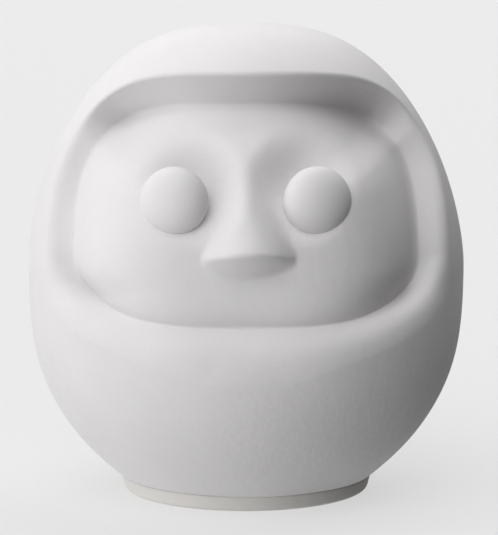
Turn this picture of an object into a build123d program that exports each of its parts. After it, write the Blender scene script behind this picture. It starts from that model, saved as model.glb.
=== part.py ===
"""Daruma doll: a hollow slip-cast bisque body, bedded clay eyeballs, a luted foot disc and a vent stopper.

Frame: millimetres, +Z up, the doll faces -Y, origin on the ground under the middle of the foot.
Left and right are the doll's own, so the left eyeball is on the +X side.
"""
import os
from math import copysign, cos, pi, sin, sqrt

from build123d import *

# ---------------------------------------------------------------- overall body
HEIGHT = 110.0                 # ground to crown
BODY_RADIUS = 51.2             # widest radius
WIDEST_Z = 53.8                # height of the widest girth
CROWN_POWERS = (1.626, 2.622)  # fullness above the girth: along z, along the radius
BELLY_POWERS = (2.791, 1.245)  # fullness below the girth
BELLY_DEPTH = 64.6             # where the belly curve would close below the girth
WALL = 4.5                     # cast wall thickness
PROFILE_SPANS = 9              # spans on each half of a profile
SURFACE_TOLERANCE = 0.1        # how near to the body's formula an edge on its surface lies
LEVEL_TOLERANCE = 0.01
CROWN_CROWDING = 2.5           # draws the profile's points towards the crown

# ---------------------------------------------------------------- foot disc
FOOT_HEIGHT = 3.8
FOOT_TOP_RADIUS = 29.7
FOOT_BOTTOM_RADIUS = 28.7
FOOT_RING_WIDTH = 5.2          # flat ring that rests on the ground
FOOT_RECESS = 1.8              # hollow under the disc, inside the ring
FOOT_PLATE = 4.5               # thickness of the disc above that hollow
FOOT_EDGE = 1.0                # rounding of the ring's outer edge
SEAM_EDGE = 0.4                # rounding along the luted seam
SHELL_MOUTH_RADIUS = 22.0      # opening in the bottom of the shell
SPIGOT_CLEARANCE = 0.4

# ---------------------------------------------------------------- vent stopper
VENT_RADIUS = 6.1
STOPPER_RADIUS = 6.0
STOPPER_TIP_RADIUS = 5.2
STOPPER_HEAD_RADIUS = 8.6
STOPPER_HEAD = 1.1             # thickness of the head
STOPPER_TAPER = 3.6            # length of the tapered tip, inside the doll
STOPPER_GAP = 0.1              # head to foot disc
STOPPER_EDGE = 0.4

# ---------------------------------------------------------------- face recess
RECESS_CENTRE_Z = 59.6         # centre that the recess outline is scaled about
CREASE_HALF_WIDTH = 38.1       # outline where the recess wall meets the face
CREASE_RISE = 33.1             # above the centre
CREASE_DROP = 14.3             # below the centre
CREASE_POWER = 3.2             # squareness of the outline
RIM_SCALE = 1.2                # the rim outline is the crease outline times this
RIM_EDGE = 0.8                 # rounding of the rim
OUTLINE_POINTS = 40            # points round the outline
FUNNEL_REACH = (-0.8, 2.2)     # the wall runs on past crease and rim, in crease-to-rim lengths
FUNNEL_ENDS = (-2.0, -70.0)    # depths of its flat ends, inside the face and in front of the doll

FACE_AXIS_Y = -4.0             # the face is part of a smaller egg on this axis
FACE_RADIUS = 41.5
FACE_WIDEST_Z = 56.0
FACE_LOW_Z = 30.0
FACE_TOP_Z = 97.5
FACE_POWERS = (2.6, 2.2)
FACE_CROWDING = 1.8

# ---------------------------------------------------------------- nose
NOSE_X = 0.7                   # hand modelling sets the nose a little to one side
NOSE_UNDER_Z = 57.2            # the sloping underside runs back into the face here
NOSE_SECTIONS = (              # height above ground, half width, stand-out from the face
    (62.0, 10.6, 5.0),
    (67.0, 8.4, 3.6),
    (74.0, 7.4, 1.7),
    (86.0, 7.0, -0.4),
)
NOSE_SINK = 0.3                # the underside's lower end is this far inside the face
NOSE_BURIAL = 1.0              # how deep the sections' middles lie in the cheeks
NOSE_EDGE = 0.7

# ---------------------------------------------------------------- eyes
EYE_X = 16.5
EYE_Y = -35.5
EYE_Z = 73.1
EYE_RADIUS = 7.9
EYE_BACK = 3.5                 # flat back, behind the ball's centre
SOCKET_RADIUS = 12.5
SOCKET_DEPTH_Y = -33.5         # deepest point of the socket
SOCKET_X = 15.0                # the hollow is deeper on the inner, upper side
SOCKET_Z = 75.0


def body_radius(z):
    """Radius of the outer body at height z."""
    if z >= WIDEST_Z:
        rise = min((z - WIDEST_Z) / (HEIGHT - WIDEST_Z), 1.0)
        return BODY_RADIUS * (1 - rise ** CROWN_POWERS[0]) ** (1 / CROWN_POWERS[1])
    drop = (WIDEST_Z - z) / BELLY_DEPTH
    return BODY_RADIUS * (1 - drop ** BELLY_POWERS[0]) ** (1 / BELLY_POWERS[1])


def body_front(x, z):
    """Front of the outer body at x, z."""
    return -sqrt(max(body_radius(z) ** 2 - x ** 2, 0.0))


def lies_on_body(edge):
    """Whether the middle of an edge is on the outer body."""
    middle = edge @ 0.5
    return abs(sqrt(middle.X ** 2 + middle.Y ** 2) - body_radius(middle.Z)) < SURFACE_TOLERANCE


def face_radius(z):
    """Radius of the smaller egg that the face is part of."""
    if z >= FACE_WIDEST_Z:
        rise = min((z - FACE_WIDEST_Z) / (FACE_TOP_Z - FACE_WIDEST_Z), 1.0)
    else:
        rise = (FACE_WIDEST_Z - z) / HEIGHT
    return FACE_RADIUS * (1 - rise ** FACE_POWERS[0]) ** (1 / FACE_POWERS[1])


def face_front(x, z):
    """Front of that egg at x, z."""
    return FACE_AXIS_Y - sqrt(max(face_radius(z) ** 2 - x ** 2, 0.0))


def outline_point(turn, scale, margin):
    """Point x, z on the recess outline at a share of a turn, scaled about its centre and grown by margin."""
    across = cos(2 * pi * turn)
    along = sin(2 * pi * turn)
    reach = CREASE_RISE if along > 0 else CREASE_DROP
    x = copysign(abs(across) ** (2 / CREASE_POWER), across) * (scale * CREASE_HALF_WIDTH + margin)
    rise = copysign(abs(along) ** (2 / CREASE_POWER), along) * (scale * reach + margin)
    return x, RECESS_CENTRE_Z + rise


def recess_ring(reach, margin, depth=None):
    """Closed curve on the recess wall, moved out and back by margin.

    A reach of 0 is the crease and 1 is the rim. A stated depth makes the ring flat.
    """
    points = []
    for station in range(OUTLINE_POINTS):
        turn = (station + 0.5) / OUTLINE_POINTS
        x, z = outline_point(turn, 1 + (RIM_SCALE - 1) * reach, margin)
        crease_y = face_front(*outline_point(turn, 1, 0))
        rim_y = body_front(*outline_point(turn, RIM_SCALE, 0))
        y = crease_y + reach * (rim_y - crease_y) + margin if depth is None else depth
        points.append(Vector(x, y, z))
    return Wire([Edge.make_spline(points, periodic=True)])


def recess_funnel(margin):
    """Everything in front of the recess wall, open towards the front; margin moves the wall outwards."""
    inner, outer = FUNNEL_REACH
    rings = [
        recess_ring(inner - 1, margin, FUNNEL_ENDS[0]),
        recess_ring(inner, margin),
        recess_ring(outer, margin),
        recess_ring(outer + 1, margin, FUNNEL_ENDS[1]),
    ]
    return Solid.make_loft(rings, ruled=True)


def body_profile(low_z, inset):
    """Closed half section of the body from low_z to the crown, moved in by inset."""
    scale = (BODY_RADIUS - inset) / BODY_RADIUS
    belly_points = []
    head_points = []
    for station in range(PROFILE_SPANS + 1):
        share = station / PROFILE_SPANS
        z = low_z + (WIDEST_Z - low_z) * share
        belly_points.append((body_radius(z) * scale, z))
        rise = 1 - (1 - share) ** CROWN_CROWDING
        z = WIDEST_Z + (HEIGHT - WIDEST_Z) * rise
        head_points.append((body_radius(z) * scale, z - inset * rise))
    with BuildLine(Plane.XZ) as outline:
        belly = Spline(belly_points)
        head = Spline(head_points, tangents=[(0, 1), (-1, 0)])
        Line(head @ 1, (0, low_z))
        Line((0, low_z), belly @ 0)
    return outline.line


def face_profile(inset):
    """Closed half section of the face's egg, moved in by inset."""
    scale = (FACE_RADIUS - inset) / FACE_RADIUS
    points = []
    for station in range(PROFILE_SPANS + 1):
        share = 1 - (1 - station / PROFILE_SPANS) ** FACE_CROWDING
        z = FACE_LOW_Z + (FACE_TOP_Z - FACE_LOW_Z) * share
        points.append((face_radius(z) * scale, z - inset * share))
    with BuildLine(Plane.XZ.offset(-FACE_AXIS_Y)) as outline:
        front = Spline(points)
        Line(front @ 1, (0, FACE_LOW_Z))
        Line((0, FACE_LOW_Z), front @ 0)
    return outline.line


def nose_section(z, half_width, height):
    """Level section of the nose: an ellipse whose sides are buried in the cheeks."""
    front = face_front(0, z) - height
    middle = face_front(half_width, z) + NOSE_BURIAL
    with BuildSketch(Plane.XY.offset(z)) as section:
        with Locations((NOSE_X, middle)):
            Ellipse(half_width, middle - front)
    return section.sketch


FACE_AXIS = Axis((0, FACE_AXIS_Y, 0), (0, 0, 1))
EYE_SIDES = (-1, 1)

# ---------------------------------------------------------------- face: egg with a nose
with BuildPart() as face:
    with BuildSketch(Plane.XZ.offset(-FACE_AXIS_Y)):
        add(face_profile(0.0))
        make_face()
    revolve(axis=FACE_AXIS)
    ridge = loft(sections=[nose_section(*values) for values in NOSE_SECTIONS])
    tip_z, tip_half_width, _ = NOSE_SECTIONS[0]
    underside = [nose_section(NOSE_UNDER_Z, tip_half_width, -NOSE_SINK), nose_section(*NOSE_SECTIONS[0])]
    loft(sections=underside, ruled=True)
    tip = face.edges().filter_by_position(Axis.Z, tip_z - LEVEL_TOLERANCE, tip_z + LEVEL_TOLERANCE)
    fillet(tip, radius=NOSE_EDGE)

# ---------------------------------------------------------------- recess: what the hood is opened by
with BuildPart() as recess:
    add(recess_funnel(0.0))
    add(face.part, mode=Mode.SUBTRACT)
    with Locations([(side * SOCKET_X, SOCKET_DEPTH_Y - SOCKET_RADIUS, SOCKET_Z) for side in EYE_SIDES]):
        Sphere(SOCKET_RADIUS)

# ---------------------------------------------------------------- hollow inside the cast wall
with BuildPart() as cast_back:
    with BuildSketch(Plane.XZ.offset(-FACE_AXIS_Y)):
        add(face_profile(WALL))
        make_face()
    revolve(axis=FACE_AXIS)

with BuildPart() as cavity:
    with BuildSketch(Plane.XZ):
        add(body_profile(FOOT_HEIGHT + WALL, WALL))
        make_face()
    revolve(axis=Axis.Z)
    add(recess_funnel(WALL) - cast_back.part, mode=Mode.SUBTRACT)
    with Locations([(side * SOCKET_X, SOCKET_DEPTH_Y - SOCKET_RADIUS, SOCKET_Z) for side in EYE_SIDES]):
        Sphere(SOCKET_RADIUS + WALL, mode=Mode.SUBTRACT)
    with Locations([(side * EYE_X, EYE_Y, EYE_Z) for side in EYE_SIDES]):
        Sphere(EYE_RADIUS + EYE_BACK / 2, mode=Mode.SUBTRACT)

# ---------------------------------------------------------------- eyeballs
eyeballs = {}
for name, side in (("right_eyeball", -1), ("left_eyeball", 1)):
    with BuildPart() as eyeball:
        with Locations((side * EYE_X, EYE_Y, EYE_Z)):
            Sphere(EYE_RADIUS)
        with BuildSketch(Plane.XZ.offset(-(EYE_Y + EYE_BACK))):
            with Locations((side * EYE_X, EYE_Z)):
                Circle(EYE_RADIUS)
        extrude(amount=-EYE_RADIUS, mode=Mode.SUBTRACT)
    eyeballs[name] = eyeball.part

# ---------------------------------------------------------------- shell
with BuildPart() as body_shell:
    with BuildSketch(Plane.XZ):
        add(body_profile(FOOT_HEIGHT, 0.0))
        make_face()
    revolve(axis=Axis.Z)
    add(recess.part, mode=Mode.SUBTRACT)
    rim = [edge for edge in body_shell.edges(Select.LAST) if lies_on_body(edge)]
    fillet(rim, radius=RIM_EDGE)
    add(cavity.part, mode=Mode.SUBTRACT)
    with BuildSketch(Plane.XY.offset(FOOT_HEIGHT)):
        Circle(SHELL_MOUTH_RADIUS)
    extrude(amount=2 * WALL, mode=Mode.SUBTRACT)
    for ball in eyeballs.values():
        add(ball, mode=Mode.SUBTRACT)

# ---------------------------------------------------------------- foot disc
with BuildPart() as base_disc:
    with BuildSketch(Plane.XZ):
        with BuildLine():
            Polyline(
                (VENT_RADIUS, FOOT_RECESS),
                (FOOT_BOTTOM_RADIUS - FOOT_RING_WIDTH, FOOT_RECESS),
                (FOOT_BOTTOM_RADIUS - FOOT_RING_WIDTH, 0),
                (FOOT_BOTTOM_RADIUS, 0),
                (FOOT_TOP_RADIUS, FOOT_HEIGHT),
                (SHELL_MOUTH_RADIUS - SPIGOT_CLEARANCE, FOOT_HEIGHT),
                (SHELL_MOUTH_RADIUS - SPIGOT_CLEARANCE, FOOT_RECESS + FOOT_PLATE),
                (VENT_RADIUS, FOOT_RECESS + FOOT_PLATE),
                close=True,
            )
        make_face()
    revolve(axis=Axis.Z)
    rings = base_disc.edges().filter_by(GeomType.CIRCLE)
    ground_ring = rings.group_by(Axis.Z)[0].sort_by(SortBy.LENGTH)[-1]
    seam_ring = rings.sort_by(SortBy.LENGTH)[-1]
    fillet(ground_ring, radius=FOOT_EDGE)
    fillet(seam_ring, radius=SEAM_EDGE)

# ---------------------------------------------------------------- vent stopper
with BuildPart() as base_stopper:
    head_top = FOOT_RECESS - STOPPER_GAP
    shank_top = FOOT_RECESS + FOOT_PLATE
    with BuildSketch(Plane.XZ):
        with BuildLine():
            Polyline(
                (0, head_top - STOPPER_HEAD),
                (STOPPER_HEAD_RADIUS, head_top - STOPPER_HEAD),
                (STOPPER_HEAD_RADIUS, head_top),
                (STOPPER_RADIUS, head_top),
                (STOPPER_RADIUS, shank_top),
                (STOPPER_TIP_RADIUS, shank_top + STOPPER_TAPER),
                (0, shank_top + STOPPER_TAPER),
                close=True,
            )
        make_face()
    revolve(axis=Axis.Z)
    lowest = base_stopper.edges().sort_by(Axis.Z)[0]
    highest = base_stopper.edges().filter_by(GeomType.CIRCLE).sort_by(Axis.Z)[-1]
    fillet([lowest, highest], radius=STOPPER_EDGE)

# ---------------------------------------------------------------- named pieces
pieces = {"body_shell": body_shell.part, "base_disc": base_disc.part, "base_stopper": base_stopper.part}
pieces.update(eyeballs)
os.makedirs("parts", exist_ok=True)
for name, piece in pieces.items():
    piece.label = name
    export_step(piece, f"parts/{name}.step")
    print(name, len(piece.solids()), round(piece.volume), piece.is_valid)
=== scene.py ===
"""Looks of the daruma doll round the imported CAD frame: clay meshes, bisque, studio light and camera."""
import math

import bmesh
import bpy
import numpy as np
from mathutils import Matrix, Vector


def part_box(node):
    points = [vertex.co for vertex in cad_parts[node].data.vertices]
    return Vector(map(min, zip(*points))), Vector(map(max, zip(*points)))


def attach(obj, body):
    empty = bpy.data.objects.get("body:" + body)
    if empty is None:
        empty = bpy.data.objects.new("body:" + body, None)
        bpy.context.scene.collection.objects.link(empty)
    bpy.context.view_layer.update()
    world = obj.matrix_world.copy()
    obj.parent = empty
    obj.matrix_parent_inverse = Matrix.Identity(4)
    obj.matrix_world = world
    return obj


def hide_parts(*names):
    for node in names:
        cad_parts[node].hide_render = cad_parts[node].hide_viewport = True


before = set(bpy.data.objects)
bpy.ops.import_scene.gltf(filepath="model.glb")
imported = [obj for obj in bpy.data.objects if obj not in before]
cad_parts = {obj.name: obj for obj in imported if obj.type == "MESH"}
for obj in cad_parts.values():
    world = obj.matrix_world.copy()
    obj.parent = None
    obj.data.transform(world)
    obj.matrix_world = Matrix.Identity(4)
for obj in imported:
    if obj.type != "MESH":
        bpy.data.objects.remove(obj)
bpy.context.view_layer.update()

MM = 0.001                      # the meshes below are worked out in millimetres

# ---------------------------------------------------------------- sizes taken from the frame
shell_low, shell_high = (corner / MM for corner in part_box("body_shell"))
disc_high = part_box("base_disc")[1] / MM
stopper_low, stopper_high = (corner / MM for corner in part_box("base_stopper"))
HEIGHT = shell_high.z
BODY_RADIUS = (shell_high.x - shell_low.x) / 2
FOOT_HEIGHT = shell_low.z
FOOT_EDGE_LOSS = 0.1            # what the rounded edge takes off the foot disc's box
FOOT_TOP_RADIUS = disc_high.x + FOOT_EDGE_LOSS

# ---------------------------------------------------------------- body profile, as in the CAD
WIDEST_Z = 53.8
CROWN_POWERS = (1.626, 2.622)
BELLY_POWERS = (2.791, 1.245)
BELLY_DEPTH = 64.6
WALL = 4.5
MOUTH_RADIUS = 22.0
MOUTH_TOP_Z = 8.3

# ---------------------------------------------------------------- hood and face, finer than the CAD's
RECESS_Z = 59.6                 # widest level of the recess outline
CREASE_HALF_WIDTH = 38.3
CREASE_RISE = 33.0
CREASE_DROP = 14.6
CREASE_POWER = 3.1
RIM_HALF_WIDTH = 45.5
RIM_RISE = 40.2
RIM_DROP = 19.4
RIM_POWERS = (2.8, 2.1)         # above and below the widest level
RIM_SWELLS = ((0.170, 0.060, 0.040), (0.310, 0.050, 0.028), (0.430, 0.050, -0.022))

FACE_AXIS_Y = -4.0
FACE_RADIUS = 41.5
FACE_WIDEST_Z = 56.0
FACE_TOP_Z = 97.5
FACE_POWERS = (2.6, 2.0)
FACE_SECTION_POWER = 2.8        # level sections of the face are boxier than circles
BROW_SECTION_POWER = 2.2        # and rounder at the brow
BROW_SECTION_RANGE = (73.0, 88.0)
FACE_HALF_WIDTH = 40.6
FACE_SIDE_RISE = 38.0
FACE_SIDE_POWER = 3.1
CHEEK_Z = 61.0                  # widest level of the face; it narrows towards the brow and the chin
CHEEK_TURN = 6                  # how late the face turns in towards the crease
SIDE_TOP = 0.55                 # sine of the turn where the side wall becomes the brow wall
SIDE_INSET = -0.8               # crease behind rim, along y; negative is in front of it
SIDE_BLEND = 1.6                # how fast it does so
CHIN_BLEND = 0.6                # and the sine over which it becomes the chest's slope
BROW_INSET = 6.8
CHIN_INSET = 6.8

NOSE_X = 0.7
NOSE_TIP_Z = 60.3               # the ends of the nose's lower edge
NOSE_ARCH = 1.9                 # the middle of that edge is this much higher
NOSE_ROOT_Z = 88.0
NOSE_HEIGHT = 5.9
NOSE_FALL = 2.8                 # how fast the ridge falls away above the tip
NOSE_TIP_HALF_WIDTH = 11.0
NOSE_BRIDGE_HALF_WIDTH = 9.0
NOSE_FLARE = 8.0
NOSE_LIP = 0.7                  # softness of the nose's lower edge

SOCKET_X = 11.9
SOCKET_Z = 76.0
SOCKET_RADIUS = 13.5
SOCKET_DEPTH = 6.2

EYE_X = 16.5
EYE_Z = 73.1
EYE_RADIUS = 7.7
EYE_DEPTH = 4.8                 # from the ball's widest ring to its front
EYE_TURN = math.radians(20)     # the balls face outwards
EYE_LIFT = math.radians(6)
EYE_SINK = 1.6                  # its widest ring lies this far under the face's dome
EYE_BACK = 2.2                  # from that ring to its flat back

RIM_ROUND_BROW = 1.1            # the rim is crisp along the brow, broad at the sides and more so below
RIM_ROUND_SIDE = 2.6
RIM_ROUND_BELOW = 3.4           # added below
CREASE_ROUND = 1.3
CREASE_CRISPER_BELOW = 0.7      # taken off below
FACE_HOLLOW = 11.5              # the hollow inside stays this much further back behind the face

# ---------------------------------------------------------------- mesh densities
FRONT_COLUMNS = 180             # across the front block
FRONT_ROWS = 100                # up the front block
BACK_COLUMNS = 96
LOWER_ROWS = 36
UPPER_ROWS = 16
BLOCK_HALF_TURN = math.radians(88)
BLOCK_LOW_Z = 31.0
BLOCK_HIGH_Z = 105.5


def body_radius(z):
    z = np.asarray(z, float)
    rise = np.clip((z - WIDEST_Z) / (HEIGHT - WIDEST_Z), 0, 1)
    drop = np.clip((WIDEST_Z - z) / BELLY_DEPTH, 0, 1)
    upper = (1 - rise ** CROWN_POWERS[0]) ** (1 / CROWN_POWERS[1])
    lower = (1 - drop ** BELLY_POWERS[0]) ** (1 / BELLY_POWERS[1])
    return BODY_RADIUS * np.where(z >= WIDEST_Z, upper, lower)


def body_front(x, z):
    return -np.sqrt(np.maximum(body_radius(z) ** 2 - x ** 2, 0))


def face_mound(x, z):
    """The swelling middle of the face, flat in front and turning away fast at the cheeks."""
    rise = np.clip((z - FACE_WIDEST_Z) / (FACE_TOP_Z - FACE_WIDEST_Z), 0, 1)
    rise = np.where(z < FACE_WIDEST_Z, (FACE_WIDEST_Z - z) / HEIGHT, rise)
    radius = FACE_RADIUS * (1 - rise ** FACE_POWERS[0]) ** (1 / FACE_POWERS[1])
    over = np.clip((z - CHEEK_Z) / FACE_SIDE_RISE, 0, 1)
    half_width = FACE_HALF_WIDTH * (1 - over ** FACE_SIDE_POWER) ** (1 / FACE_SIDE_POWER)
    across = np.clip(np.abs(x) / half_width, 0, 1)
    to_brow = soft_step((z - BROW_SECTION_RANGE[0]) / (BROW_SECTION_RANGE[1] - BROW_SECTION_RANGE[0]))
    power = FACE_SECTION_POWER + (BROW_SECTION_POWER - FACE_SECTION_POWER) * to_brow
    return FACE_AXIS_Y - radius * (1 - across ** power) ** (1 / power)


def crease_depth(turn):
    """y of the crease: behind the rim at the brow and the chin, a little in front of it at the sides."""
    rim_x, rim_z = rim_outline(turn)
    upward = np.sin(2 * math.pi * turn)
    over = soft_step((upward - SIDE_TOP) / (1 - SIDE_TOP) * SIDE_BLEND)
    under = soft_step(-upward / CHIN_BLEND)
    inset = SIDE_INSET + (BROW_INSET - SIDE_INSET) * over + (CHIN_INSET - SIDE_INSET) * under
    return body_front(rim_x, rim_z) + inset


def face_dome(x, z):
    """The face without its features: the mound, drawn down to the crease round its edge."""
    x = np.asarray(x, float)
    z = np.asarray(z, float)
    power = CREASE_POWER
    side = np.abs(x) / CREASE_HALF_WIDTH
    height = np.abs(z - RECESS_Z) / np.where(z > RECESS_Z, CREASE_RISE, CREASE_DROP)
    reach = np.maximum((side ** power + height ** power) ** (1 / power), 1e-6)
    across = np.sign(x) * (side / reach) ** (power / 2)
    along = np.sign(z - RECESS_Z) * (height / reach) ** (power / 2)
    turn = np.arctan2(along, across) / (2 * math.pi)
    edge_x, edge_z = crease_outline(turn)
    drop = crease_depth(turn) - face_mound(edge_x, edge_z)
    return face_mound(x, z) + drop * np.minimum(reach, 1) ** CHEEK_TURN


def soft_step(value):
    """0 below 0, 1 above 1, smooth between."""
    value = np.clip(value, 0, 1)
    return value * value * (3 - 2 * value)


def soft_positive(value, softness):
    """The larger of value and 0, rounded off over the softness."""
    return (value + np.sqrt(value ** 2 + softness ** 2)) / 2


def nose(x, z):
    """How far the nose stands out: a broad ridge that widens to the tip, cut off by a sloping underside."""
    across = x - NOSE_X
    tip_z = NOSE_TIP_Z + NOSE_ARCH * np.clip(1 - (across / NOSE_TIP_HALF_WIDTH) ** 2, 0, 1)
    share = np.clip((z - tip_z) / (NOSE_ROOT_Z - tip_z), 0, 1)
    flare = np.clip(1 - (z - tip_z) / NOSE_FLARE, 0, 1)
    half_width = NOSE_BRIDGE_HALF_WIDTH + flare ** 2 * (NOSE_TIP_HALF_WIDTH - NOSE_BRIDGE_HALF_WIDTH)
    section = np.clip(1 - (across / half_width) ** 2, 0, 1) ** (2 - flare)
    ridge = NOSE_HEIGHT * (1 - share) ** NOSE_FALL * section
    undercut = soft_positive(tip_z - z, NOSE_LIP)
    return np.clip(soft_positive(ridge - undercut, 0.3) - 0.05, 0, None)


def sockets(x, z):
    depth = 0.0
    for side in (-1, 1):
        distance = np.hypot(x - side * SOCKET_X, z - SOCKET_Z) / SOCKET_RADIUS
        depth = depth + SOCKET_DEPTH * np.clip(1 - distance ** 2, 0, 1) ** 2
    return depth


def face(x, z):
    return face_dome(x, z) - nose(x, z) + sockets(x, z)


def outline(turn, powers, half_width, rise, drop):
    """x and z on a rounded-off outline, at a share of a turn from the +X side."""
    across = np.cos(2 * math.pi * turn)
    along = np.sin(2 * math.pi * turn)
    reach = np.where(along > 0, rise, drop)
    power = np.where(along > 0, powers[0], powers[1])
    x = np.sign(across) * np.abs(across) ** (2 / power) * half_width
    z = np.sign(along) * np.abs(along) ** (2 / power) * reach
    return x, RECESS_Z + z


def crease_outline(turn):
    return outline(turn, (CREASE_POWER, CREASE_POWER), CREASE_HALF_WIDTH, CREASE_RISE, CREASE_DROP)


def rim_outline(turn):
    """The hood's edge is cut by hand, a little higher over each brow and most over the doll's left one."""
    x, z = outline(turn, RIM_POWERS, RIM_HALF_WIDTH, RIM_RISE, RIM_DROP)
    stretch = 1
    for middle, width, amount in RIM_SWELLS:
        stretch = stretch + amount * np.exp(-((turn % 1 - middle) / width) ** 2)
    return x * stretch, RECESS_Z + (z - RECESS_Z) * stretch


# ---------------------------------------------------------------- body profile by length along it
share = np.linspace(0, 1, 1500)
profile_z = np.concatenate([
    FOOT_HEIGHT + (WIDEST_Z - FOOT_HEIGHT) * share[:-1],
    WIDEST_Z + (HEIGHT - WIDEST_Z) * (1 - (1 - share) ** 3),
])
profile_r = body_radius(profile_z)
profile_length = np.concatenate([[0], np.cumsum(np.hypot(np.diff(profile_r), np.diff(profile_z)))])


def length_at(z):
    return np.interp(z, profile_z, profile_length)


def on_body(turn, length):
    """Points of the outer body; turn is the angle from the front, in radians."""
    turn, length = np.broadcast_arrays(turn, length)
    radius = np.interp(length, profile_length, profile_r)
    z = np.interp(length, profile_length, profile_z)
    return np.stack([radius * np.sin(turn), -radius * np.cos(turn), z], axis=-1)


class Clay:
    """Collects patches of points and quads, and joins them into one mesh."""

    def __init__(self):
        self.points = []
        self.faces = []
        self.count = 0

    def patch(self, grid, closed=False):
        """grid is rows x columns x 3; closed joins the last column to the first."""
        rows, columns = grid.shape[:2]
        base = self.count
        self.points.append(grid.reshape(-1, 3))
        self.count += rows * columns
        for row in range(rows - 1):
            for column in range(columns if closed else columns - 1):
                following = (column + 1) % columns
                a = base + row * columns + column
                b = base + row * columns + following
                self.faces.append((a, b, b + columns, a + columns))

    def cap(self, ring, centre):
        """A fan from a closed ring of points to a centre."""
        base = self.count
        self.points.append(np.vstack([ring, centre]))
        self.count += len(ring) + 1
        for column in range(len(ring)):
            self.faces.append((base + column, base + (column + 1) % len(ring), base + len(ring)))

    def build(self, name, merge=0.003):
        mesh = bpy.data.meshes.new(name)
        mesh.from_pydata((np.vstack(self.points) * MM).tolist(), [], self.faces)
        work = bmesh.new()
        work.from_mesh(mesh)
        bmesh.ops.remove_doubles(work, verts=work.verts, dist=merge * MM)
        bmesh.ops.recalc_face_normals(work, faces=work.faces)
        for side in work.faces:
            side.smooth = True
        work.to_mesh(mesh)
        work.free()
        piece = bpy.data.objects.new(name, mesh)
        bpy.context.scene.collection.objects.link(piece)
        return piece


def bend(first, corner, last, steps):
    """Rows of points that round a corner between two rows."""
    t = np.linspace(0, 1, steps + 1)[:, None, None]
    return first * (1 - t) ** 2 + corner * 2 * t * (1 - t) + last * t ** 2


def straight(first, last, steps):
    t = np.linspace(0, 1, steps + 1)[:, None, None]
    return first * (1 - t) + last * t


def spaced_turns(start, end, steps):
    """Turns along one side of the outline, evenly spaced by distance."""
    turns = np.linspace(start, end, 800)
    x, z = rim_outline(turns)
    length = np.concatenate([[0], np.cumsum(np.hypot(np.diff(x), np.diff(z)))])
    return np.interp(np.linspace(0, length[-1], steps + 1), length, turns)


def uneven(points):
    """Slow, shallow unevenness of hand-finished clay, along each coordinate's own waves."""
    x, y, z = points.T
    return (
        0.10 * np.sin(x / 9.1 + 1.3) * np.sin(z / 11.3 + 0.4)
        + 0.07 * np.sin(y / 7.3 + x / 13.7) * np.sin(z / 6.1 + 2.0)
        + 0.05 * np.sin(x / 4.7 + z / 5.3) * np.sin(y / 5.9 + 0.7)
    )


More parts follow.
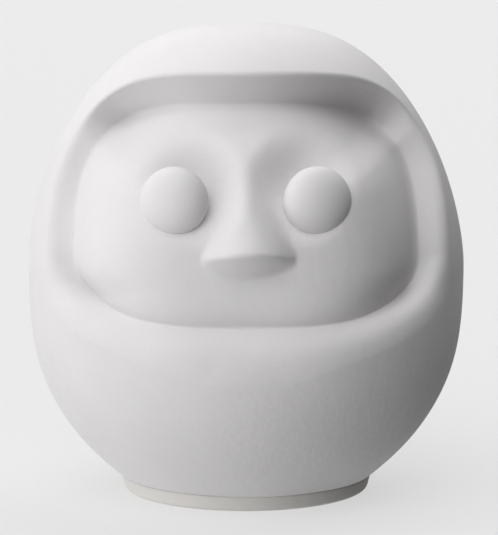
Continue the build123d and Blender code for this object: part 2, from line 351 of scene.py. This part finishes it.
def make_body_shell():
    clay = Clay()
    low = length_at(BLOCK_LOW_Z)
    high = length_at(BLOCK_HIGH_Z)
    front_turns = np.linspace(-BLOCK_HALF_TURN, BLOCK_HALF_TURN, FRONT_COLUMNS + 1)
    back_turns = np.linspace(BLOCK_HALF_TURN, 2 * math.pi - BLOCK_HALF_TURN, BACK_COLUMNS + 1)
    levels = np.linspace(low, high, FRONT_ROWS + 1)

    # the block's edge, anticlockwise from its lower left corner, and the outline turns that go with it
    edge_turn = np.concatenate([
        front_turns[:-1],
        np.full(FRONT_ROWS, BLOCK_HALF_TURN),
        front_turns[:0:-1],
        np.full(FRONT_ROWS, -BLOCK_HALF_TURN),
    ])
    edge_length = np.concatenate([
        np.full(FRONT_COLUMNS, low),
        levels[:-1],
        np.full(FRONT_COLUMNS, high),
        levels[:0:-1],
    ])
    turn = np.concatenate([
        spaced_turns(5 / 8, 7 / 8, FRONT_COLUMNS)[:-1],
        spaced_turns(7 / 8, 9 / 8, FRONT_ROWS)[:-1],
        spaced_turns(9 / 8, 11 / 8, FRONT_COLUMNS)[:-1],
        spaced_turns(11 / 8, 13 / 8, FRONT_ROWS)[:-1],
    ])

    crease_x, crease_z = crease_outline(turn)
    crease = np.stack([crease_x, face_dome(crease_x, crease_z), crease_z], axis=-1)
    rim_x, rim_z = rim_outline(turn)
    rim = np.stack([rim_x, body_front(rim_x, rim_z), rim_z], axis=-1)

    upward = np.sin(2 * math.pi * turn)
    brow = soft_step((upward - 0.35) / 0.5)
    below = soft_step(-upward / 0.5)
    rim_round = RIM_ROUND_BROW * brow + (1 - brow) * (RIM_ROUND_SIDE + RIM_ROUND_BELOW * below)
    crease_round = CREASE_ROUND - CREASE_CRISPER_BELOW * below

    wall = rim - crease
    wall_length = np.linalg.norm(wall, axis=1)
    inner_edge = rim - wall * np.minimum(rim_round / wall_length, 0.8)[:, None]
    crease_edge = crease + wall * np.minimum(crease_round / wall_length, 0.17)[:, None]

    rim_turn = np.arctan2(rim[:, 0], -rim[:, 1])
    rim_length = length_at(rim_z)
    gap = np.linalg.norm(on_body(edge_turn, edge_length) - rim, axis=1)
    outer_share = np.clip(rim_round * (1 + 0.5 * below) / gap, 0, 0.8)

    def body_ring(amount):
        return on_body(
            rim_turn + (edge_turn - rim_turn) * amount,
            rim_length + (edge_length - rim_length) * amount,
        )

    outer_rings = 18
    grading = np.linspace(1, 0, outer_rings + 1) ** 1.4
    rings = [body_ring(outer_share + (1 - outer_share) * amount) for amount in grading]
    clay.patch(np.stack(rings), closed=True)
    clay.patch(bend(rings[-1], rim, inner_edge, 12), closed=True)
    clay.patch(straight(inner_edge, crease_edge, 5), closed=True)

    distance = np.hypot(crease_x, crease_z - RECESS_Z)
    face_share = 1 - crease_round * 1.3 / distance
    face_x = crease_x * face_share
    face_z = RECESS_Z + (crease_z - RECESS_Z) * face_share
    face_edge = np.stack([face_x, face(face_x, face_z), face_z], axis=-1)
    clay.patch(bend(crease_edge, crease, face_edge, 8), closed=True)

    # the face inside the crease: a grid stretched between the four sides of its edge
    flat = face_edge[:, [0, 2]]
    corner = [0, FRONT_COLUMNS, FRONT_COLUMNS + FRONT_ROWS, 2 * FRONT_COLUMNS + FRONT_ROWS]
    bottom = flat[corner[0]:corner[1] + 1]
    right = flat[corner[1]:corner[2] + 1]
    top = flat[corner[2]:corner[3] + 1][::-1]
    left = np.vstack([flat[corner[3]:], flat[:1]])[::-1]
    u = np.linspace(0, 1, FRONT_COLUMNS + 1)[None, :, None]
    v = np.linspace(0, 1, FRONT_ROWS + 1)[:, None, None]
    inner = (
        (1 - v) * bottom[None] + v * top[None] + (1 - u) * left[:, None] + u * right[:, None]
        - (1 - u) * (1 - v) * bottom[0] - u * (1 - v) * bottom[-1]
        - (1 - u) * v * top[0] - u * v * top[-1]
    )
    inner_x = inner[..., 0]
    inner_z = inner[..., 1]
    clay.patch(np.stack([inner_x, face(inner_x, inner_z), inner_z], axis=-1))

    # back, belly and crown
    clay.patch(on_body(back_turns[None, :], levels[:, None]))
    all_turns = np.concatenate([front_turns, back_turns[1:-1]])
    lower = np.linspace(0, low, LOWER_ROWS + 1)
    clay.patch(on_body(all_turns[None, :], lower[:, None]), closed=True)
    upper = np.linspace(high, profile_length[-1], UPPER_ROWS + 1)[:-1]
    clay.patch(on_body(all_turns[None, :], upper[:, None]), closed=True)
    clay.cap(on_body(all_turns, np.full_like(all_turns, upper[-1])), (0, 0, HEIGHT))

    # underside and the hollow inside
    levels_in = np.linspace(MOUTH_TOP_Z, HEIGHT - WALL - 0.5, 34)
    rounding = (levels_in - MOUTH_TOP_Z) / (levels_in[-1] - MOUTH_TOP_Z)
    wall = WALL * (1 + 0.4 * (1 - rounding))
    radius_in = body_radius(FOOT_HEIGHT + (HEIGHT - FOOT_HEIGHT) * rounding) - wall
    sine = np.sin(all_turns)[None, :]
    cosine = np.cos(all_turns)[None, :]
    radius_in = np.maximum(radius_in, 1.0)[:, None] * np.ones_like(sine)
    size = np.hypot(
        radius_in * sine / CREASE_HALF_WIDTH,
        (levels_in[:, None] - RECESS_Z - 8) / CREASE_RISE,
    )
    in_front = soft_step((cosine + 0.15) / 0.5)
    radius_in = radius_in - FACE_HOLLOW * in_front * soft_step((1.6 - size) / 0.6)
    radius_in = np.maximum(radius_in, 0.8)
    hollow = np.stack(
        [radius_in * sine, -radius_in * cosine, levels_in[:, None] * np.ones_like(sine)], axis=-1
    )
    ring = np.stack([np.sin(all_turns), -np.cos(all_turns)], axis=-1)

    def level_ring(radius, z):
        return np.column_stack([ring * radius, np.full(len(ring), z)])

    foot_ring = on_body(all_turns, np.zeros_like(all_turns))
    mouth = np.stack([
        foot_ring,
        level_ring(MOUTH_RADIUS, FOOT_HEIGHT),
        level_ring(MOUTH_RADIUS, MOUTH_TOP_Z - 0.2),
    ])
    clay.patch(mouth, closed=True)
    clay.patch(np.stack([mouth[-1], hollow[0]]), closed=True)
    clay.patch(hollow, closed=True)
    clay.cap(hollow[-1], (0, 0, levels_in[-1] + 0.3))
    shell = clay.build("clay_body_shell")
    places = np.array([vertex.co[:] for vertex in shell.data.vertices]) / MM
    normals = np.array([vertex.normal[:] for vertex in shell.data.vertices])
    places += normals * uneven(places)[:, None]
    shell.data.vertices.foreach_set("co", (places * MM).ravel())
    shell.data.update()
    return shell


def lathe(name, profile, columns=224, wobble=0.0):
    """A turned piece from points (radius, z), whose profile closes on itself or ends close to the axis."""
    turns = np.linspace(0, 2 * math.pi, columns, endpoint=False)
    profile = np.array(profile, float)
    clay = Clay()
    radius = profile[:, 0][:, None] * (1 + wobble * np.sin(turns * 3 + 0.6) + wobble * np.sin(turns * 5))
    grid = np.stack([
        radius * np.sin(turns)[None],
        -radius * np.cos(turns)[None],
        profile[:, 1][:, None] * np.ones_like(turns)[None],
    ], axis=-1)
    clay.patch(grid, closed=True)
    return clay.build(name)


def round_corners(points, radii, steps=6):
    """A polyline of (radius, z) with the corners between its ends rounded."""
    points = [np.array(point, float) for point in points]
    out = [points[0]]
    for before, corner, after, radius in zip(points, points[1:], points[2:], radii):
        if radius <= 0:
            out.append(corner)
            continue
        to_before = (before - corner) / np.linalg.norm(before - corner)
        to_after = (after - corner) / np.linalg.norm(after - corner)
        for t in np.linspace(0, 1, steps + 1):
            out.append(
                (corner + to_before * radius) * (1 - t) ** 2
                + corner * 2 * t * (1 - t)
                + (corner + to_after * radius) * t ** 2
            )
    out.append(points[-1])
    return out


def make_eyeball(name, side):
    """A hand-rolled ball of clay, pressed flat at the back and bedded in its socket."""
    axis = np.array([
        side * math.sin(EYE_TURN) * math.cos(EYE_LIFT),
        -math.cos(EYE_TURN) * math.cos(EYE_LIFT),
        math.sin(EYE_LIFT),
    ])
    across = np.array([math.cos(EYE_TURN), side * math.sin(EYE_TURN), 0])
    upward = np.cross(across, axis)
    upward = upward if upward[2] > 0 else -upward
    centre = np.array([side * EYE_X, float(face_dome(side * EYE_X, EYE_Z)), EYE_Z]) - axis * EYE_SINK
    angles = np.linspace(0.012, math.pi / 2, 48)
    turns = np.linspace(0, 2 * math.pi, 120, endpoint=False)
    ring = across * np.cos(turns)[:, None] + upward * np.sin(turns)[:, None]
    rows = [centre + ring * EYE_RADIUS * math.sin(a) + axis * EYE_DEPTH * math.cos(a) for a in angles]
    back = ((1, 1), (0.97, 1.8), (0.9, EYE_BACK), (0.5, EYE_BACK))
    rows += [centre + ring * EYE_RADIUS * reach - axis * depth for reach, depth in back]
    clay = Clay()
    clay.patch(np.stack(rows), closed=True)
    clay.cap(rows[0], centre + axis * EYE_DEPTH)
    clay.cap(rows[-1], centre - axis * EYE_BACK)
    return clay.build(name)


def make_base_disc():
    top = FOOT_TOP_RADIUS
    bottom = top - 1.0
    ring_inside = bottom - 5.2
    vent = 6.1
    recess = 1.8
    plate_top = disc_high.z
    spigot = MOUTH_RADIUS - 0.4
    profile = round_corners(
        [
            (vent + 2, recess), (ring_inside, recess), (ring_inside + 0.3, 0), (bottom, 0),
            (top, FOOT_HEIGHT), (spigot, FOOT_HEIGHT), (spigot, plate_top), (vent, plate_top),
            (vent, recess), (vent + 2, recess),
        ],
        [0.8, 0.7, 1.1, 0.55, 0.2, 0.6, 0.4, 0.4],
    )
    return lathe("clay_base_disc", profile, wobble=0.0006)


def make_stopper():
    low = stopper_low.z
    head_top = low + 1.1
    shank_top = 6.3
    tip = stopper_high.z
    profile = round_corners(
        [
            (0.02, low + 0.35), (2.6, low + 0.35), (3.2, low), (8.6, low), (8.6, head_top), (6.0, head_top),
            (6.0, shank_top), (5.2, tip), (0.02, tip),
        ],
        [0.3, 0.3, 0.45, 0.3, 0.15, 0.5, 0.6],
    )
    return lathe("rubber_base_stopper", profile, columns=128)


# ---------------------------------------------------------------- materials
CLOUD_SCALE = 55
SPECK_SCALE = 2600
ROUGHNESS_SCALE = 900
FINE_SCALE = 2300
FINE_DEPTH = 0.00010
BROAD_SCALE = 420
BROAD_DEPTH = 0.00035


def bisque(name, colour, grain=1.0):
    """Unglazed fired clay: a fine dry grain, faint clouding and darker specks."""
    material = bpy.data.materials.new(name)
    material.use_nodes = True
    nodes = material.node_tree.nodes
    links = material.node_tree.links
    nodes.clear()
    output = nodes.new("ShaderNodeOutputMaterial")
    shader = nodes.new("ShaderNodeBsdfPrincipled")
    links.new(shader.outputs["BSDF"], output.inputs["Surface"])
    place = nodes.new("ShaderNodeTexCoord").outputs["Object"]

    def noise(scale, detail=2.0, roughness=0.5):
        texture = nodes.new("ShaderNodeTexNoise")
        texture.inputs["Scale"].default_value = scale
        texture.inputs["Detail"].default_value = detail
        texture.inputs["Roughness"].default_value = roughness
        links.new(place, texture.inputs["Vector"])
        return texture.outputs["Fac"]

    def remap(value, low, high, to_low, to_high):
        node = nodes.new("ShaderNodeMapRange")
        node.inputs["From Min"].default_value = low
        node.inputs["From Max"].default_value = high
        node.inputs["To Min"].default_value = to_low
        node.inputs["To Max"].default_value = to_high
        links.new(value, node.inputs["Value"])
        return node.outputs["Result"]

    clouds = nodes.new("ShaderNodeValToRGB")
    clouds.color_ramp.elements[0].position = 0.3
    clouds.color_ramp.elements[1].position = 0.7
    clouds.color_ramp.elements[0].color = (*[c * 0.965 for c in colour], 1)
    clouds.color_ramp.elements[1].color = (*colour, 1)
    links.new(noise(CLOUD_SCALE, 3.0, 0.55), clouds.inputs["Fac"])
    speck = nodes.new("ShaderNodeMix")
    speck.data_type = "RGBA"
    speck.blend_type = "MULTIPLY"
    speck.inputs["B"].default_value = (0.93, 0.925, 0.92, 1)
    links.new(clouds.outputs["Color"], speck.inputs["A"])
    links.new(remap(noise(SPECK_SCALE, 2.0), 0.58, 0.72, 0.0, 0.55), speck.inputs["Factor"])
    links.new(speck.outputs["Result"], shader.inputs["Base Color"])
    links.new(remap(noise(ROUGHNESS_SCALE, 2.0), 0.3, 0.7, 0.78, 0.94), shader.inputs["Roughness"])
    shader.inputs["Specular IOR Level"].default_value = 0.3

    fine = nodes.new("ShaderNodeBump")
    fine.inputs["Strength"].default_value = 0.35 * grain
    fine.inputs["Distance"].default_value = FINE_DEPTH
    links.new(noise(FINE_SCALE, 3.0, 0.6), fine.inputs["Height"])
    broad = nodes.new("ShaderNodeBump")
    broad.inputs["Strength"].default_value = 0.30 * grain
    broad.inputs["Distance"].default_value = BROAD_DEPTH
    links.new(noise(BROAD_SCALE, 3.0, 0.5), broad.inputs["Height"])
    links.new(broad.outputs["Normal"], fine.inputs["Normal"])
    links.new(fine.outputs["Normal"], shader.inputs["Normal"])
    return material


def rubber(name, colour):
    material = bisque(name, colour, grain=0.3)
    shader = next(node for node in material.node_tree.nodes if node.type == "BSDF_PRINCIPLED")
    shader.inputs["Specular IOR Level"].default_value = 0.5
    return material


body_clay = bisque("bisque_body", (0.74, 0.725, 0.73))
eye_clay = bisque("bisque_eyes", (0.74, 0.725, 0.73), grain=0.8)
foot_clay = bisque("bisque_foot", (0.70, 0.68, 0.655), grain=1.3)
stopper_rubber = rubber("stopper_rubber", (0.55, 0.54, 0.52))

# ---------------------------------------------------------------- pieces
pieces = [
    (make_body_shell(), "body_shell", "doll", "bisque_body", body_clay),
    (make_eyeball("clay_left_eyeball", 1), "left_eyeball", "doll", "bisque_eyes", eye_clay),
    (make_eyeball("clay_right_eyeball", -1), "right_eyeball", "doll", "bisque_eyes", eye_clay),
    (make_base_disc(), "base_disc", "doll", "bisque_foot", foot_clay),
    (make_stopper(), "base_stopper", "stopper", "stopper_rubber", stopper_rubber),
]
for piece, node, body, slot, material in pieces:
    piece.data.materials.append(material)
    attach(piece, body)
    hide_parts(node)


# ---------------------------------------------------------------- floor, light and camera
FLOOR_BASE = 0.18               # the paper is partly lit from behind, so that shadows on it stay faint
FLOOR_GLOW = 0.575


def make_floor():
    """A pale sheet that runs from the table up behind the doll in one curve, and is clear from below."""
    half_width = 6.0
    front = -5.0
    back = 3.0
    radius = 1.5
    height = 5.0
    path = [(front, 0.0), (back, 0.0)]
    for step in range(1, 25):
        angle = math.pi / 2 * step / 24
        path.append((back + radius * math.sin(angle), radius * (1 - math.cos(angle))))
    path.append((back + radius, height))
    rows = [[(-half_width, y, z), (half_width, y, z)] for y, z in path]
    clay = Clay()
    clay.patch(np.array(rows) / MM)
    floor = clay.build("floor_sheet")
    material = bpy.data.materials.new("floor_paper")
    material.use_nodes = True
    shader = material.node_tree.nodes["Principled BSDF"]
    shader.inputs["Base Color"].default_value = (FLOOR_BASE, FLOOR_BASE, FLOOR_BASE, 1)
    shader.inputs["Emission Color"].default_value = (1, 1, 1, 1)
    shader.inputs["Emission Strength"].default_value = FLOOR_GLOW
    shader.inputs["Roughness"].default_value = 0.9
    nodes = material.node_tree.nodes
    links = material.node_tree.links
    clear = nodes.new("ShaderNodeBsdfTransparent")
    two_sided = nodes.new("ShaderNodeMixShader")
    links.new(nodes.new("ShaderNodeNewGeometry").outputs["Backfacing"], two_sided.inputs["Fac"])
    links.new(clear.outputs["BSDF"], two_sided.inputs[1])
    links.new(shader.outputs["BSDF"], two_sided.inputs[2])
    links.new(two_sided.outputs["Shader"], nodes["Material Output"].inputs["Surface"])
    floor.data.materials.append(material)
    floor.visible_diffuse = False
    floor.visible_glossy = False
    floor.visible_shadow = False


def soft_sun(name, azimuth, elevation, strength, spread):
    """Parallel light from a wide soft source. Azimuth 0 is in front of the doll, positive to the right."""
    lamp = bpy.data.lights.new(name, "SUN")
    lamp.energy = strength
    lamp.angle = math.radians(spread)
    light = bpy.data.objects.new(name, lamp)
    light.rotation_mode = "QUATERNION"
    light.rotation_quaternion = direction(azimuth, elevation).to_track_quat("Z", "Y")
    bpy.context.scene.collection.objects.link(light)


def direction(azimuth, elevation):
    a = math.radians(azimuth)
    e = math.radians(elevation)
    return Vector((math.sin(a) * math.cos(e), -math.cos(a) * math.cos(e), math.sin(e)))


make_floor()
soft_sun("key_left", -65, 20, math.pi * 0.19, 60)
soft_sun("key_front_left", -40, 50, math.pi * 0.15, 60)
soft_sun("key_front", -12, 48, math.pi * 0.42, 50)
soft_sun("back_left", -120, 50, math.pi * 0.34, 60)
soft_sun("back_right", 150, 50, math.pi * 0.50, 60)

# light from below stands in for the light that the table bounces back: azimuth, elevation, strength
BOUNCES = ((-90, -35, 1.00), (-30, -35, 0.80), (180, -35, 0.95))
BOUNCE_POWER = 3                # how tight each one is
SEEN_BACKGROUND = 0.80          # what the camera sees past the floor sheet


def make_world():
    world = bpy.data.worlds.new("studio")
    world.use_nodes = True
    nodes = world.node_tree.nodes
    links = world.node_tree.links
    background = nodes["Background"]
    way = nodes.new("ShaderNodeTexCoord").outputs["Generated"]

    def maths(operation, value, second=None, third=None):
        node = nodes.new("ShaderNodeMath")
        node.operation = operation
        links.new(value, node.inputs[0])
        if second is not None:
            node.inputs[1].default_value = second
        if third is not None:
            links.new(third, node.inputs[2])
        return node.outputs[0]

    total = None
    for azimuth, elevation, strength in BOUNCES:
        dot = nodes.new("ShaderNodeVectorMath")
        dot.operation = "DOT_PRODUCT"
        dot.inputs[1].default_value = direction(azimuth, elevation)
        links.new(way, dot.inputs[0])
        lobe = maths("POWER", maths("MAXIMUM", dot.outputs["Value"], 0), BOUNCE_POWER)
        if total is None:
            total = maths("MULTIPLY", lobe, strength)
        else:
            total = maths("MULTIPLY_ADD", lobe, strength, total)
    seen = nodes.new("ShaderNodeMix")
    links.new(nodes.new("ShaderNodeLightPath").outputs["Is Camera Ray"], seen.inputs["Factor"])
    links.new(total, seen.inputs["A"])
    seen.inputs["B"].default_value = SEEN_BACKGROUND
    links.new(seen.outputs["Result"], background.inputs["Strength"])
    background.inputs["Color"].default_value = (1, 1, 1, 1)
    bpy.context.scene.world = world


make_world()
bpy.context.scene.view_settings.view_transform = "Standard"

CAMERA_DISTANCE = 0.700
CAMERA_ELEVATION = math.radians(7.85)
CAMERA_LENS = 199.9
AIM = Vector((0.0007, 0.0, 0.0524))
camera_data = bpy.data.cameras.new("camera")
camera_data.lens = CAMERA_LENS
camera_data.sensor_width = 36.0
camera_data.clip_start = 0.05
camera = bpy.data.objects.new("camera", camera_data)
camera.location = Vector((0, 0, HEIGHT / 2 * MM)) + CAMERA_DISTANCE * Vector(
    (0, -math.cos(CAMERA_ELEVATION), math.sin(CAMERA_ELEVATION))
)
camera.rotation_mode = "QUATERNION"
camera.rotation_quaternion = (camera.location - AIM).to_track_quat("Z", "Y")
bpy.context.scene.collection.objects.link(camera)
bpy.context.scene.camera = camera
